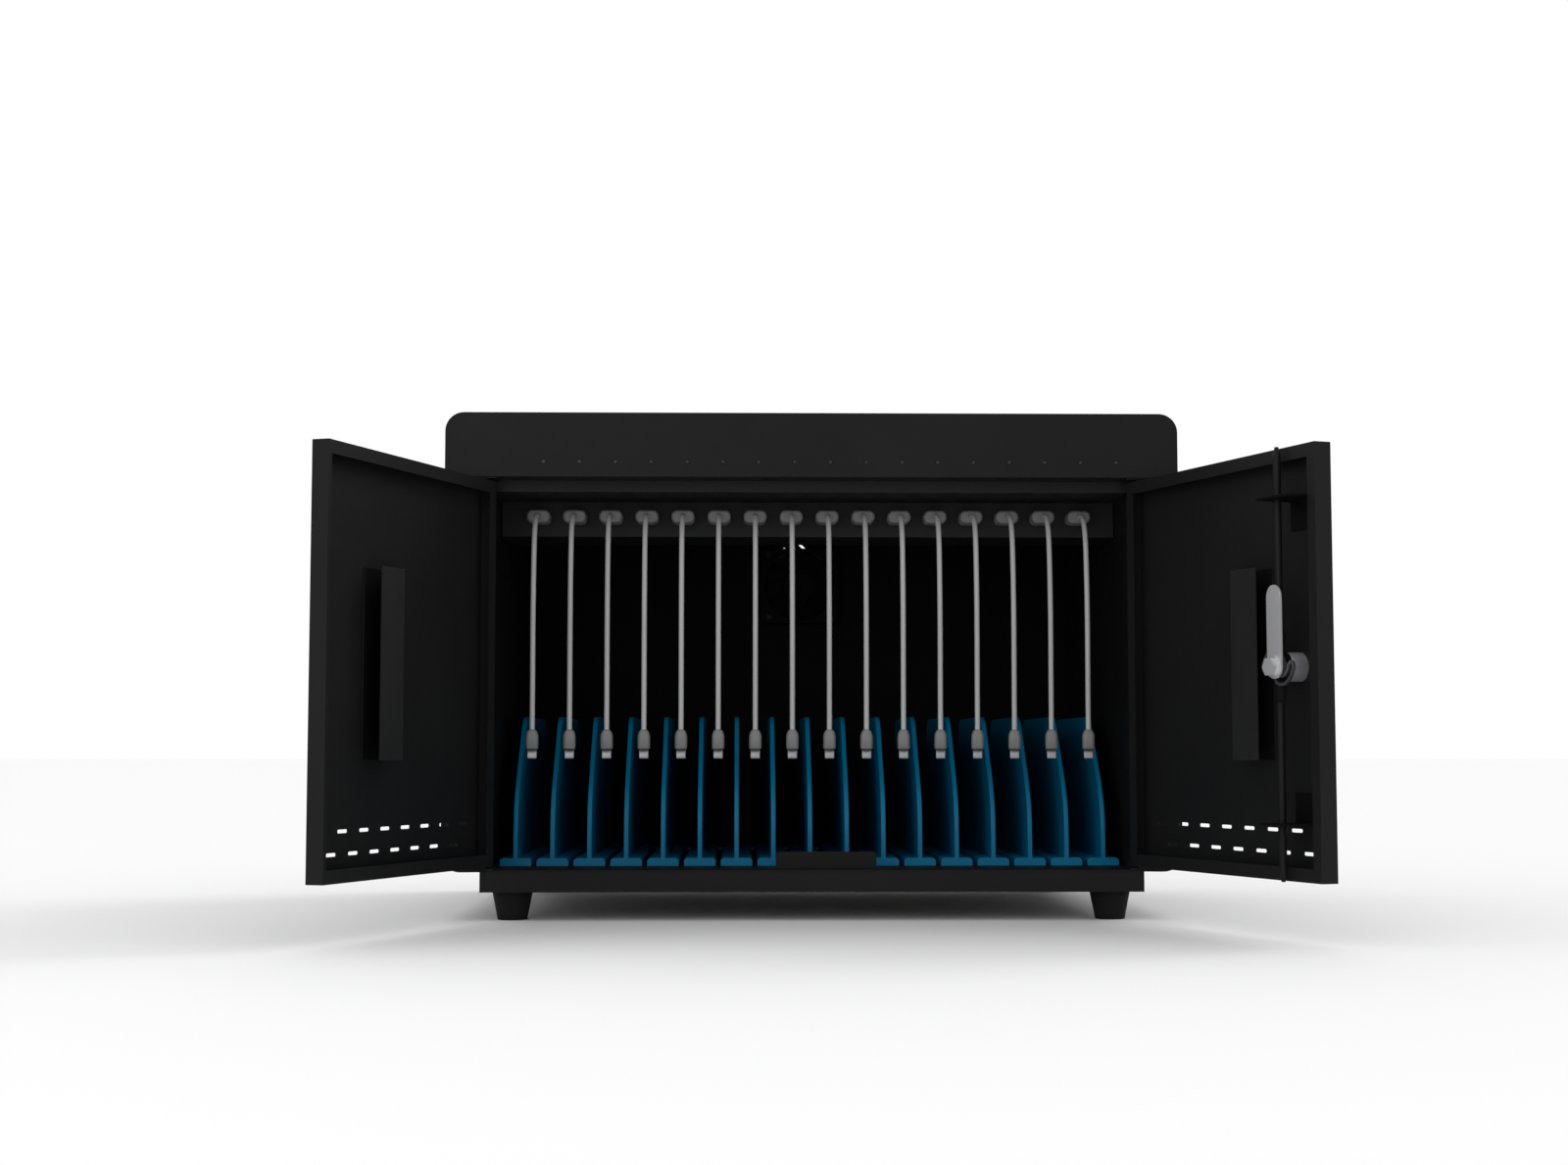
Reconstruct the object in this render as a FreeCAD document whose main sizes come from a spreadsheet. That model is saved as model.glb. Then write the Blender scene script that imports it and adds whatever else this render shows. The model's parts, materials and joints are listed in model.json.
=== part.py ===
"""Charging cabinet for flat devices: a folded steel body on a plinth with rubber feet, two leaf doors
on pivot hinges, a key lock that drives two bolt rods, a row of dividers, and a row of charging cables
on a hub.

Frame: origin on the floor under the middle of the whole part with its doors open, +X to the right,
+Y to the rear, +Z up.
The doors are modelled standing open, and the lock is modelled unlocked. Lengths are in millimetres.
"""
import FreeCAD, Part
import math
import os
import re
import Sketcher

Vector = FreeCAD.Vector
Z_AXIS = Vector(0, 0, 1)
LEFT = -1
RIGHT = 1
SIDES = ((LEFT, "left"), (RIGHT, "right"))

SIZES = (
    # Body and header
    ("body_w", 486.4),
    ("body_d", 340),
    ("body_h", 303.1),
    ("corner_r", 12.5),
    ("sheet", 1.2),
    ("header_h", 42.8),
    ("stile_w", 19),
    ("jamb_step", 9.2),
    ("jamb_depth", 23.2),
    ("ceiling_drop", 7.6),
    ("panel_gap", 0.1),
    ("panel_recess", 6),
    # Plinth and feet
    ("plinth_h", 13.1),
    ("plinth_side_inset", 25.5),
    ("plinth_front_inset", 0.2),
    ("plinth_rear_inset", 7.8),
    ("plinth_sheet", 1.5),
    ("foot_h", 18.8),
    ("foot_top_d", 27),
    ("foot_tip_d", 19.5),
    ("foot_side_inset", 19.7),
    ("foot_end_inset", 20.5),
    ("foot_stud_d", 5),
    ("foot_stud_l", 5),
    ("anchor_d", 6.6),
    ("anchor_side_inset", 57.7),
    ("anchor_end_inset", 46),
    # Door leaves
    ("door_t", 11),
    ("door_sheet", 1),
    ("door_lip", 8),
    ("left_end_lip", 3.5),
    ("door_gap_top", 3.1),
    ("door_gap_bottom", 2.3),
    ("door_gap_middle", 4),
    ("door_gap_hinge", 2.6),
    ("open_angle", 109.4),
    ("vent_l", 12.6),
    ("vent_h", 2.2),
    ("vent_start", 25),
    ("vent_end", 14),
    ("vent_rise", 28.9),
    ("vent_row_gap", 13.2),
    ("vent_columns", 8),
    ("stiffener_w", 27.8),
    ("stiffener_l", 115),
    ("stiffener_inset", 87.6),
    ("stiffener_shift", 0.65),
    ("stiffener_d", 12.9),
    ("stiffener_sheet", 1),
    # Pivot hinges
    ("pivot_inset", 4),
    ("pivot_d", 4),
    ("pivot_reach", 5),
    ("running_gap", 0.05),
    ("bush_d", 5.8),
    ("bush_flange_d", 7.6),
    ("bush_flange_t", 0.8),
    ("bush_l", 6),
    ("bracket_sheet", 1.2),
    ("bracket_reach", 15),
    ("bracket_leg", 38),
    ("bracket_leg_w", 9.6),
    ("hinge_screw_d", 3),
    ("hinge_screw_pitch", 18),
    ("hinge_screw_inset", 6),
    ("screw_head_d", 5.6),
    ("screw_head_t", 1.6),
    # Lock, rods and rod guides
    ("lock_inset", 33),
    ("lock_drop", 2.25),
    ("lock_d", 17.3),
    ("lock_l", 11.6),
    ("lock_bezel_d", 22),
    ("lock_bezel_t", 2),
    ("plug_d", 11),
    ("keyway_w", 1.4),
    ("keyway_h", 7),
    ("keyway_depth", 4),
    ("spindle_d", 7),
    ("clip_w", 5),
    ("clip_h", 38),
    ("clip_t", 0.7),
    ("clip_gap", 0.3),
    ("scroll_hub_d", 15),
    ("scroll_wall", 1.8),
    ("scroll_t", 1.5),
    ("scroll_gap", 0.3),
    ("scroll_r", 7),
    ("rod_travel", 6.5),
    ("rod_d", 4.6),
    ("rod_tip_d", 2.3),
    ("rod_tip_l", 5),
    ("rod_gap", 0.3),
    ("rod_end_proud", 0.4),
    ("rod_pin_d", 2.6),
    ("rod_pin_gap", 0.2),
    ("rod_blade_w", 5),
    ("rod_blade_l", 14),
    ("tongue_w", 14),
    ("tongue_l", 48),
    ("tongue_t", 1.6),
    ("bolt_washer_d", 13),
    ("bolt_washer_t", 1),
    ("bolt_head_d", 11.5),
    ("bolt_head_t", 3.4),
    ("guide_sheet", 1.2),
    ("guide_gap", 0.3),
    ("guide_leg_h", 17.5),
    ("guide_leg_w", 30),
    ("guide_reach", 13.6),
    ("guide_past_rod", 8),
    ("guide_lip_gap", 0.6),
    ("upper_guide_drop", 31),
    ("lower_guide_rise", 32.4),
    ("keeper_gap", 0.6),
    # Lower catch plate
    ("catch_w", 67),
    ("catch_shift", 9.6),
    ("catch_h", 11),
    ("catch_foot", 20),
    ("catch_corner_r", 2.5),
    # Dividers and bays
    ("bay_count", 16),
    ("bay_side_gap", 4.25),
    ("divider_base_gap", 3.5),
    ("divider_base_t", 5.3),
    ("divider_bevel", 1.6),
    ("divider_rear_gap", 45.8),
    ("divider_start", 57),
    ("fin_t", 3),
    ("fin_h", 102),
    ("fin_front_h", 42),
    ("fin_slope_l", 62),
    ("fin_bend_r", 50),
    ("fin_top_r", 25),
    ("fin_rear_r", 20),
    # Charging hub, plugs, cables
    ("hub_start", 86),
    ("hub_h", 24.2),
    ("hub_d", 62),
    ("hub_side_gap", 1),
    ("usb_rise", 12.6),
    ("window_gap", 0.5),
    ("board_t", 1.6),
    ("board_margin", 6),
    ("standoff_d", 5),
    ("socket_w", 14.5),
    ("socket_h", 7.2),
    ("socket_d", 14),
    ("socket_setback", 0.3),
    ("shell_w", 12),
    ("shell_h", 4.5),
    ("shell_l", 11),
    ("shell_gap", 0.25),
    ("grip_w", 16),
    ("grip_h", 9),
    ("grip_l", 18),
    ("grip_r", 4),
    ("cable_d", 3.5),
    ("connector_w", 8.4),
    ("connector_t", 5.4),
    ("connector_l", 13),
    ("connector_r", 2.4),
    ("tip_w", 6.6),
    ("tip_t", 1.6),
    ("tip_l", 6.5),
    ("tip_r", 0.7),
    # Indicator lights
    ("light_left_inset", 65),
    ("light_right_inset", 41.1),
    ("light_count", 17),
    ("light_rise", 10),
    ("light_d", 2.4),
    ("light_gap", 0.35),
    ("light_board_h", 18),
    ("light_board_margin", 8),
    ("light_l", 8),
    # Power inlet, switch and supply
    ("power_rise", 24),
    ("inlet_inset", 73.2),
    ("inlet_w", 27),
    ("inlet_h", 19.6),
    ("inlet_d", 24),
    ("inlet_wall", 1.6),
    ("inlet_flange", 2.4),
    ("inlet_flange_t", 2.5),
    ("blade_w", 2),
    ("blade_h", 4),
    ("blade_l", 13),
    ("blade_pitch", 7),
    ("blade_drop", 2),
    ("switch_to_inlet", 38),
    ("switch_w", 13),
    ("switch_h", 19.2),
    ("switch_d", 16),
    ("switch_wall", 1.2),
    ("switch_flange", 1.4),
    ("switch_flange_t", 2),
    ("rocker_gap", 0.4),
    ("rocker_t", 5),
    ("rocker_tilt", 10),
    ("rocker_pin_d", 2),
    ("supply_w", 210),
    ("supply_d", 110),
    ("supply_h", 38),
    ("supply_start", 110),
    # Fan and its vent
    ("fan_w", 60),
    ("fan_d", 15),
    ("fan_drop", 11.3),
    ("fan_bore_d", 56),
    ("fan_lip", 1.6),
    ("fan_corner_r", 4),
    ("fan_screw_pitch", 50),
    ("fan_screw_d", 4),
    ("fan_screw_head_d", 7.6),
    ("fan_hub_d", 25),
    ("fan_strut_w", 4),
    ("fan_strut_t", 2.6),
    ("fan_strut_bite", 1),
    ("fan_shaft_d", 3),
    ("rotor_l", 9.5),
    ("rotor_gap", 0.8),
    ("fan_blade_t", 1.2),
    ("fan_blade_w", 18),
    ("fan_blade_tilt", 65),
    ("fan_blades", 11),
    ("grille_bar", 3.8),
    ("grille_slot", 1.9),
    ("grille_rise", 4.7),
)

# Lengths and places that follow from the sizes above
FORMULAS = {
    "door_reach": "(door_w - pivot_inset)*sin(open_angle)"
                  " - (door_t - pivot_inset)*cos(open_angle) - pivot_inset",
    "front_y": "(door_reach - body_d)/2",
    "rear_y": "front_y + body_d",
    "base_z": "foot_h + plinth_h",
    "floor_z": "base_z + sheet",
    "top_z": "base_z + body_h",
    "header_z": "top_z - header_h",
    "ceiling_z": "header_z - ceiling_drop",
    "inner_x": "body_w/2 - sheet",
    "jamb_x": "body_w/2 - stile_w",
    "liner_x": "jamb_x - jamb_step",
    "plinth_w": "body_w - 2*plinth_side_inset",
    "plinth_d": "body_d - plinth_front_inset - plinth_rear_inset",
    "plinth_y": "front_y + plinth_front_inset",
    "anchor_pitch_x": "plinth_w - 2*anchor_side_inset",
    "anchor_pitch_y": "plinth_d - 2*anchor_end_inset",
    "foot_x": "plinth_w/2 - foot_side_inset",
    "foot_front_y": "plinth_y + foot_end_inset",
    "foot_rear_y": "plinth_y + plinth_d - foot_end_inset",
    "door_w": "jamb_x - door_gap_hinge - door_gap_middle/2",
    "door_z0": "floor_z + door_gap_bottom",
    "door_z1": "header_z - door_gap_top",
    "door_h": "door_z1 - door_z0",
    "vent_pitch": "(door_w - vent_start - vent_end)/(vent_columns - 1)",
    "stiffener_start": "door_w - stiffener_inset",
    "stiffener_z": "door_z0 + (door_h - stiffener_l)/2 + stiffener_shift",
    "pivot_x": "jamb_x - door_gap_hinge - pivot_inset",
    "pivot_y": "front_y + pivot_inset",
    "bracket_y": "front_y + jamb_depth - bracket_leg_w",
    "guide_edge": "door_w - door_lip - guide_lip_gap",
    "lock_s": "door_w - lock_inset",
    "lock_z": "door_z0 + door_h/2 - lock_drop",
    "rod_n": "lock_l + clip_t + rod_gap + rod_d/2",
    "scroll_n": "rod_n + scroll_gap",
    "rod_x": "pivot_x + pivot_inset - lock_s",
    "rod_z0": "door_z0 - rod_end_proud",
    "rod_z1": "door_z1 + rod_end_proud",
    "tongue_n": "rod_n + rod_d/2 + rod_gap",
    "upper_guide_z": "door_z1 - upper_guide_drop",
    "lower_guide_z": "door_z0 + lower_guide_rise",
    "hub_y": "front_y + hub_start",
    "hub_z": "ceiling_z - hub_h",
    "usb_z": "hub_z + usb_rise",
    "board_z": "usb_z - socket_h/2 - board_t",
    "socket_y": "hub_y + sheet + socket_setback",
    "grip_y": "hub_y - grip_l",
    "bay_pitch": "(2*liner_x + divider_base_gap - 2*bay_side_gap)/(bay_count + 1)",
    "divider_base_w": "bay_pitch - divider_base_gap",
    "divider_l": "body_d - panel_recess - sheet - divider_start - divider_rear_gap",
    "first_bay_x": "-bay_pitch*(bay_count - 1)/2",
    "light_z": "header_z + light_rise",
    "light_start": "body_w/2 - light_left_inset",
    "light_pitch": "(body_w - light_left_inset - light_right_inset)/(light_count - 1)",
    "inlet_x": "body_w/2 - inlet_inset",
    "switch_x": "inlet_x - switch_to_inlet",
    "deck_z": "ceiling_z + sheet",
    "power_z": "deck_z + power_rise",
    "panel_back_y": "rear_y - panel_recess",
    "panel_y": "panel_back_y - sheet",
    "fan_z": "ceiling_z - fan_drop - fan_w/2",
    "fan_y": "panel_y - fan_d",
    "grille_z": "fan_z + fan_w/2 + grille_rise - fan_bore_d/2",
    "shaft_l": "fan_d - fan_strut_t - rotor_gap",
}

# Cable route from the plug's end, as forward distance and drop, ending at the connector
CABLE_ROUTE = ((0, 0), (10, 0), (19.7, 5.2), (26.4, 15.1), (29.9, 34.8), (32.6, 72.7), (31.4, 117.7),
               (31.4, 147.7))
ARC_SHARE = 0.45

doc = FreeCAD.newDocument("charging_cabinet")
sheet = doc.addObject("Spreadsheet::Sheet", "Sizes")
for row, (alias, size) in enumerate(SIZES, start=1):
    sheet.set(f"A{row}", alias.replace("_", " "))
    sheet.set(f"B{row}", str(size))
    sheet.setAlias(f"B{row}", alias)
doc.recompute()

ALIASES = {alias for alias, size in SIZES}
FUNCTIONS = {"sin", "cos"}
WORD = re.compile(r"[a-z][a-z0-9_]*")
NODES = {}


def spell(text):
    """An expression on the sheet's cells, with every formula written out."""
    def swap(match):
        word = match.group(0)
        if word in FORMULAS:
            return f"({spell(FORMULAS[word])})"
        if word in ALIASES:
            return f"Sizes.{word}"
        if word in FUNCTIONS:
            return word
        raise ValueError(f"unknown size: {word}")
    return WORD.sub(swap, str(text))


def value(text):
    """The number that an expression on the sheet comes to."""
    return float(sheet.evalExpression(spell(text)))


def bind(item, **sizes):
    for name, text in sizes.items():
        item.setExpression(name, spell(text))
    return item


def place(item, spot, turn=None):
    """Puts an item at a spot given as expressions, turned by a fixed rotation."""
    item.Placement = FreeCAD.Placement(Vector(0, 0, 0), turn or FreeCAD.Rotation())
    for axis, text in zip("xyz", spot):
        item.setExpression(f"Placement.Base.{axis}", spell(text))
    return item


def block(size, spot):
    item = doc.addObject("Part::Box", "Block")
    bind(item, Length=size[0], Width=size[1], Height=size[2])
    return place(item, spot)


def span(x, y, z):
    """A block given by its low and high ends along each axis."""
    return block([f"({high})-({low})" for low, high in (x, y, z)], (x[0], y[0], z[0]))


TURNS = {
    "x": FreeCAD.Rotation(Vector(0, 1, 0), 90),
    "y": FreeCAD.Rotation(Vector(1, 0, 0), -90),
    "z": FreeCAD.Rotation(),
}


def drum(diameter, length, spot, axis="z"):
    item = doc.addObject("Part::Cylinder", "Drum")
    bind(item, Radius=f"({diameter})/2", Height=length)
    return place(item, spot, TURNS[axis])


def taper(low_d, high_d, length, spot):
    item = doc.addObject("Part::Cone", "Taper")
    bind(item, Radius1=f"({low_d})/2", Radius2=f"({high_d})/2", Height=length)
    return place(item, spot)


def fuse(*items):
    joined = doc.addObject("Part::MultiFuse", "Joined")
    joined.Shapes = list(items)
    joined.Refine = True
    return joined


def cut(base, *tools):
    item = doc.addObject("Part::Cut", "Trimmed")
    item.Base = base
    item.Tool = tools[0] if len(tools) == 1 else fuse(*tools)
    return item


def group(items):
    item = doc.addObject("Part::Compound", "Group")
    item.Links = list(items)
    return item


def node(item, label):
    item.Label = label
    NODES[label] = item
    return item


def row_of(template, label, count, pitch, start):
    """A node with copies of a template set along X."""
    doc.recompute()
    copies = []
    for index in range(round(value(count))):
        shape = template.Shape.copy()
        shape.translate(Vector(value(start) + index * value(pitch), 0, 0))
        copies.append(shape)
    item = doc.addObject("Part::Feature", "Row")
    item.Shape = Part.makeCompound(copies)
    return node(item, label)


# Sketches

def new_body(name):
    return doc.addObject("PartDesign::Body", name)


def sketch_on(body, role, offset):
    sketch = body.newObject("Sketcher::SketchObject", "Sketch")
    plane = next(item for item in body.Origin.OriginFeatures if item.Role == role)
    sketch.AttachmentSupport = [(plane, "")]
    sketch.MapMode = "FlatFace"
    sketch.setExpression("AttachmentOffset.Base.z", spell(offset))
    return sketch


def limit(sketch, constraint, text):
    index = sketch.addConstraint(constraint)
    sketch.setExpression(f"Constraints[{index}]", spell(text))


def pin(sketch, curve, point, spot):
    """Holds a point of a curve at a spot measured from the sketch's origin."""
    for kind, text in zip(("DistanceX", "DistanceY"), spot):
        limit(sketch, Sketcher.Constraint(kind, -1, 1, curve, point, value(text)), text)


def polygon(sketch, *spots):
    corners = [Vector(value(u), value(v), 0) for u, v in spots]
    first = sketch.GeometryCount
    count = len(corners)
    for index, corner in enumerate(corners):
        sketch.addGeometry(Part.LineSegment(corner, corners[(index + 1) % count]))
    for index, spot in enumerate(spots):
        following = first + (index + 1) % count
        sketch.addConstraint(Sketcher.Constraint("Coincident", first + index, 2, following, 1))
        pin(sketch, first + index, 1, spot)


def rectangle(sketch, low, high):
    polygon(sketch, low, (high[0], low[1]), high, (low[0], high[1]))


def circle(sketch, spot, diameter):
    centre = Vector(value(spot[0]), value(spot[1]), 0)
    radius = f"({diameter})/2"
    curve = sketch.addGeometry(Part.Circle(centre, Z_AXIS, value(radius)))
    pin(sketch, curve, 3, spot)
    limit(sketch, Sketcher.Constraint("Radius", curve, value(radius)), radius)


def arcs_and_lines(sketch, corners, radius, level_first):
    """Closes a ring of quarter or half arcs with straight lines.

    Each corner is a centre with its start and end angle, and level_first says for each arc whether its
    start lies level with its centre, and so on for its end.
    """
    arcs = []
    for centre, angles in corners:
        middle = Vector(value(centre[0]), value(centre[1]), 0)
        round_edge = Part.Circle(middle, Z_AXIS, value(radius))
        start, end = [math.radians(angle) for angle in angles]
        arcs.append(sketch.addGeometry(Part.ArcOfCircle(round_edge, start, end)))
    for index, arc in enumerate(arcs):
        following = arcs[(index + 1) % len(arcs)]
        line = sketch.addGeometry(Part.LineSegment(sketch.getPoint(arc, 2), sketch.getPoint(following, 1)))
        sketch.addConstraint(Sketcher.Constraint("Coincident", arc, 2, line, 1))
        sketch.addConstraint(Sketcher.Constraint("Coincident", line, 2, following, 1))
    for arc, (centre, angles), levels in zip(arcs, corners, level_first):
        pin(sketch, arc, 3, centre)
        limit(sketch, Sketcher.Constraint("Radius", arc, value(radius)), radius)
        for point, level in zip((1, 2), levels):
            kind = "Horizontal" if level else "Vertical"
            sketch.addConstraint(Sketcher.Constraint(kind, arc, point, arc, 3))


def rounded(sketch, low, high, radius):
    """A rectangle with four round corners."""
    left, right = f"({low[0]})+({radius})", f"({high[0]})-({radius})"
    bottom, top = f"({low[1]})+({radius})", f"({high[1]})-({radius})"
    corners = (((right, bottom), (-90, 0)), ((right, top), (0, 90)),
               ((left, top), (90, 180)), ((left, bottom), (180, 270)))
    arcs_and_lines(sketch, corners, radius, ((False, True), (True, False)) * 2)


def slot(sketch, spot, length, width, upright=False):
    """A slot with round ends, given by its middle."""
    half = f"(({length})-({width}))/2"
    if upright:
        corners = (((spot[0], f"({spot[1]})-{half}"), (180, 360)),
                   ((spot[0], f"({spot[1]})+{half}"), (0, 180)))
        levels = (True, True)
    else:
        corners = (((f"({spot[0]})+{half}", spot[1]), (-90, 90)),
                   ((f"({spot[0]})-{half}", spot[1]), (90, 270)))
        levels = (False, False)
    arcs_and_lines(sketch, corners, f"({width})/2", (levels, levels))


# The sketch's normal points along -Y on the upright front plane, so its offsets count forwards
PLANES = {"x": ("YZ_Plane", 1), "y": ("XZ_Plane", -1), "z": ("XY_Plane", 1)}


def pad(body, axis, low, high, draw):
    """Adds what draw sketches, between two heights along an axis."""
    role, sign = PLANES[axis]
    sketch = sketch_on(body, role, low if sign > 0 else f"-({low})")
    draw(sketch)
    item = body.newObject("PartDesign::Pad", "Pad")
    item.Profile = sketch
    item.Reversed = sign < 0
    return bind(item, Length=f"({high})-({low})")


def pocket(body, axis, low, high, draw):
    """Takes away what draw sketches, between two heights along an axis."""
    role, sign = PLANES[axis]
    sketch = sketch_on(body, role, high if sign > 0 else f"-({low})")
    draw(sketch)
    item = body.newObject("PartDesign::Pocket", "Pocket")
    item.Profile = sketch
    return bind(item, Length=f"({high})-({low})")


def repeat(body, feature, count, pitch, backwards=False):
    """Repeats a feature along its sketch's level direction."""
    item = body.newObject("PartDesign::LinearPattern", "Repeat")
    item.Originals = [feature]
    item.Direction = (feature.Profile[0], ["H_Axis"])
    item.Reversed = backwards
    bind(item, Length=f"({pitch})*(({count})-1)", Occurrences=count)
    body.Tip = item
    return item


def round_edges(body, feature, direction, spots, radius):
    """Rounds the edges of a feature that run along a direction through the given places."""
    doc.recompute()
    names = []
    for index, edge in enumerate(feature.Shape.Edges, start=1):
        ends = [vertex.Point for vertex in edge.Vertexes]
        if len(ends) != 2 or (ends[1] - ends[0]).cross(direction).Length > 1e-6:
            continue
        for spot in spots:
            if (ends[0] - spot).cross(direction).Length < 1e-6:
                names.append(f"Edge{index}")
    item = body.newObject("PartDesign::Fillet", "Round")
    item.Base = (feature, names)
    return bind(item, Radius=radius)


# Door places: along the leaf from its hinge edge, in from its outer skin, and up

def leaf_x(side, along):
    return f"{-side}*(({along}) - pivot_inset)"


def leaf_span(side, along, depth, height):
    ends = sorted((leaf_x(side, end) for end in along), key=value)
    return span(ends, [f"({end}) - pivot_inset" for end in depth], height)


def leaf_drum(side, diameter, along, depth, height):
    """A round piece square to the leaf."""
    spot = (leaf_x(side, along), f"({depth[0]}) - pivot_inset", height)
    return drum(diameter, f"({depth[1]})-({depth[0]})", spot, "y")


def leaf_post(side, diameter, along, depth, height):
    """An upright round piece on the leaf."""
    spot = (leaf_x(side, along), f"({depth}) - pivot_inset", height[0])
    return drum(diameter, f"({height[1]})-({height[0]})", spot)


def hang(item, side):
    """Swings a piece of a leaf open about its hinge."""
    turn = FreeCAD.Rotation(Z_AXIS, side * value("open_angle"))
    return place(item, (f"{side}*pivot_x", "pivot_y", "0"), turn)


# Body

def outer_wrapper():
    body = new_body("Wrapper")
    half = "body_w/2"

    def ring(sketch):
        rounded(sketch, (f"-{half}", "base_z"), (half, "top_z"), "corner_r")
        rounded(sketch, ("-inner_x", "floor_z"), ("inner_x", "top_z - sheet"), "corner_r - sheet")
    pad(body, "y", "front_y + sheet", "rear_y", ring)
    keeper = "rod_d + 2*keeper_gap"
    pocket(body, "z", "base_z", "floor_z", lambda s: circle(s, ("rod_x", "front_y + rod_n"), keeper))
    node(body, "outer_wrapper")


def front_fascia():
    body = new_body("Fascia")
    half = "body_w/2"
    pad(body, "y", "front_y", "front_y + sheet",
        lambda s: rounded(s, (f"-{half}", "base_z"), (half, "top_z"), "corner_r"))
    pocket(body, "y", "front_y", "front_y + sheet",
           lambda s: rectangle(s, ("-jamb_x", "base_z - sheet"), ("jamb_x", "header_z")))
    hole = pocket(body, "y", "front_y", "front_y + sheet",
                  lambda s: circle(s, ("-light_start", "light_z"), "light_d + 2*light_gap"))
    repeat(body, hole, "light_count", "light_pitch")
    node(body, "front_fascia")


def side_liner(side, word):
    def across(low, high):
        return (low, high) if side > 0 else (f"-({high})", f"-({low})")
    jamb = span(across("jamb_x", "jamb_x + sheet"), ("front_y + sheet", "front_y + jamb_depth"),
                ("floor_z", "header_z"))
    step = span(across("liner_x", "jamb_x + sheet"), ("front_y + jamb_depth", "front_y + jamb_depth + sheet"),
                ("floor_z", "ceiling_z"))
    wall = span(across("liner_x", "liner_x + sheet"), ("front_y + jamb_depth + sheet", "panel_y"),
                ("floor_z", "ceiling_z"))
    holes = []
    for upper in (False, True):
        for y, z in hinge_screw_spots(upper):
            low = "jamb_x" if side > 0 else "-(jamb_x + sheet)"
            holes.append(drum("hinge_screw_d", "sheet", (low, y, z), "x"))
    node(cut(fuse(jamb, step, wall), *holes), f"{word}_side_liner")


def deck():
    wide = ("-inner_x", "inner_x")
    flange = span(wide, ("front_y + sheet", "front_y + jamb_depth + sheet"), ("header_z", "header_z + sheet"))
    band = span(wide, ("front_y + jamb_depth", "front_y + jamb_depth + sheet"), ("ceiling_z", "header_z"))
    ceiling = span(wide, ("front_y + jamb_depth + sheet", "panel_y"), ("ceiling_z", "deck_z"))
    keeper = drum("rod_d + 2*keeper_gap", "sheet", ("rod_x", "front_y + rod_n", "header_z"))
    node(cut(fuse(flange, band, ceiling), keeper), "deck")


def plinth_pan():
    half = "plinth_w/2"
    outer = span((f"-{half}", half), ("plinth_y", "plinth_y + plinth_d"), ("foot_h", "base_z"))
    hollow = span((f"-{half} + plinth_sheet", f"{half} - plinth_sheet"),
                  ("plinth_y + plinth_sheet", "plinth_y + plinth_d - plinth_sheet"),
                  ("foot_h + plinth_sheet", "base_z"))
    holes = [drum("foot_stud_d", "plinth_sheet", (x, y, "foot_h")) for x, y in foot_spots()]
    for x in ("-anchor_pitch_x/2", "anchor_pitch_x/2"):
        for y in ("-anchor_pitch_y/2", "anchor_pitch_y/2"):
            holes.append(drum("anchor_d", "plinth_sheet", (x, f"plinth_y + plinth_d/2 + {y}", "foot_h")))
    node(cut(outer, hollow, *holes), "plinth_pan")


def foot_spots():
    return [(x, y) for x in ("-foot_x", "foot_x") for y in ("foot_front_y", "foot_rear_y")]


def rubber_feet():
    feet = []
    for x, y in foot_spots():
        cone = taper("foot_tip_d", "foot_top_d", "foot_h", (x, y, "0"))
        stud = drum("foot_stud_d", "foot_stud_l", (x, y, "foot_h"))
        feet.append(fuse(cone, stud))
    node(group(feet), "rubber_feet")


def catch_plate():
    left, right = "catch_shift - catch_w/2", "catch_shift + catch_w/2"
    near = "front_y + jamb_depth"
    body = new_body("Catch")
    upright = pad(body, "y", near, f"{near} + sheet",
                  lambda s: rectangle(s, (left, "floor_z"), (right, "floor_z + catch_h")))
    top = value("floor_z + catch_h")
    corners = [Vector(value(x), 0, top) for x in (left, right)]
    round_edges(body, upright, Vector(0, 1, 0), corners, "catch_corner_r")
    pad(body, "z", "floor_z", "floor_z + sheet",
        lambda s: rectangle(s, (left, near), (right, f"{near} + catch_foot")))
    node(body, "catch_plate")


# Hinges

def hinge_screw_spots(upper):
    y = "bracket_y + bracket_leg_w/2"
    if upper:
        start = "header_z - bracket_leg + hinge_screw_inset"
        return ((y, start), (y, f"{start} + hinge_screw_pitch"))
    start = "floor_z + bracket_leg - hinge_screw_inset"
    return ((y, start), (y, f"{start} - hinge_screw_pitch"))


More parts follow.
